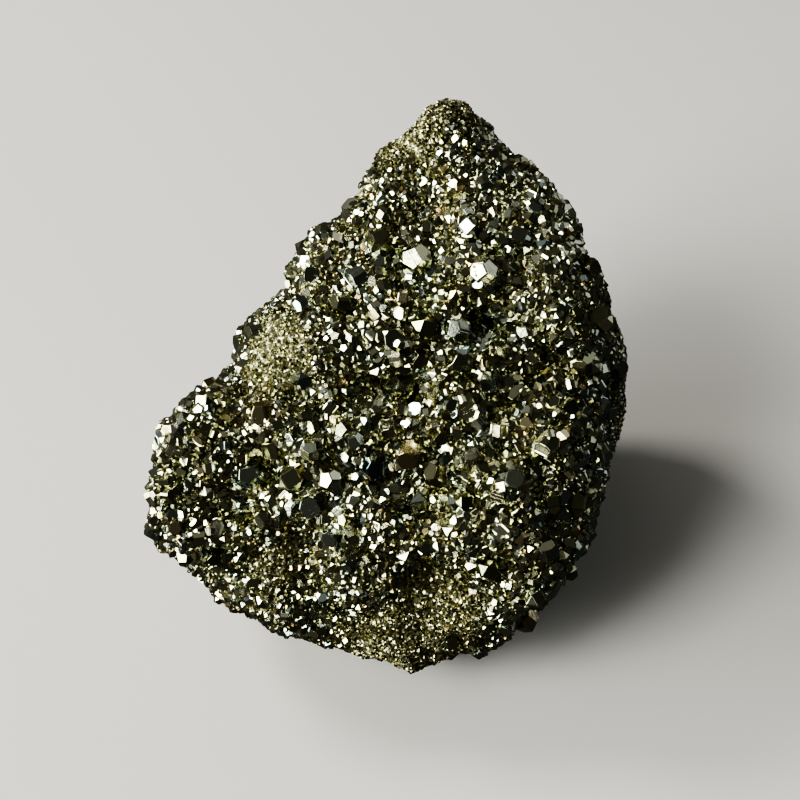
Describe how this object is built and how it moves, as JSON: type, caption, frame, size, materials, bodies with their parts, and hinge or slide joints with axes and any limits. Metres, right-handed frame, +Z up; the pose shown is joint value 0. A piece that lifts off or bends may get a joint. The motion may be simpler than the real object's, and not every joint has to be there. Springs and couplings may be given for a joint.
{
  "type": "pyrite cluster",
  "caption": "Broken lump of pyrite crusted with interlocking faceted crystals, coarse on its broad sloping face and fine-grained elsewhere, with a flat cut underside to stand on.",
  "frame": {"origin": "centre of the bounding box's bottom, on the flat cut underside", "axes": "+Z up, +X to the right as seen from the front, -Y towards the viewer and the broad crystal face"},
  "size_m": [0.0576, 0.0547, 0.0574],
  "materials": {
    "pyrite": "natural pyrite: bright, pale brass-yellow crystal faces over dull, granular, darker hollows"
  },
  "bodies": {
    "root": {"pyrite_cluster": "pyrite"}
  },
  "joints": []
}
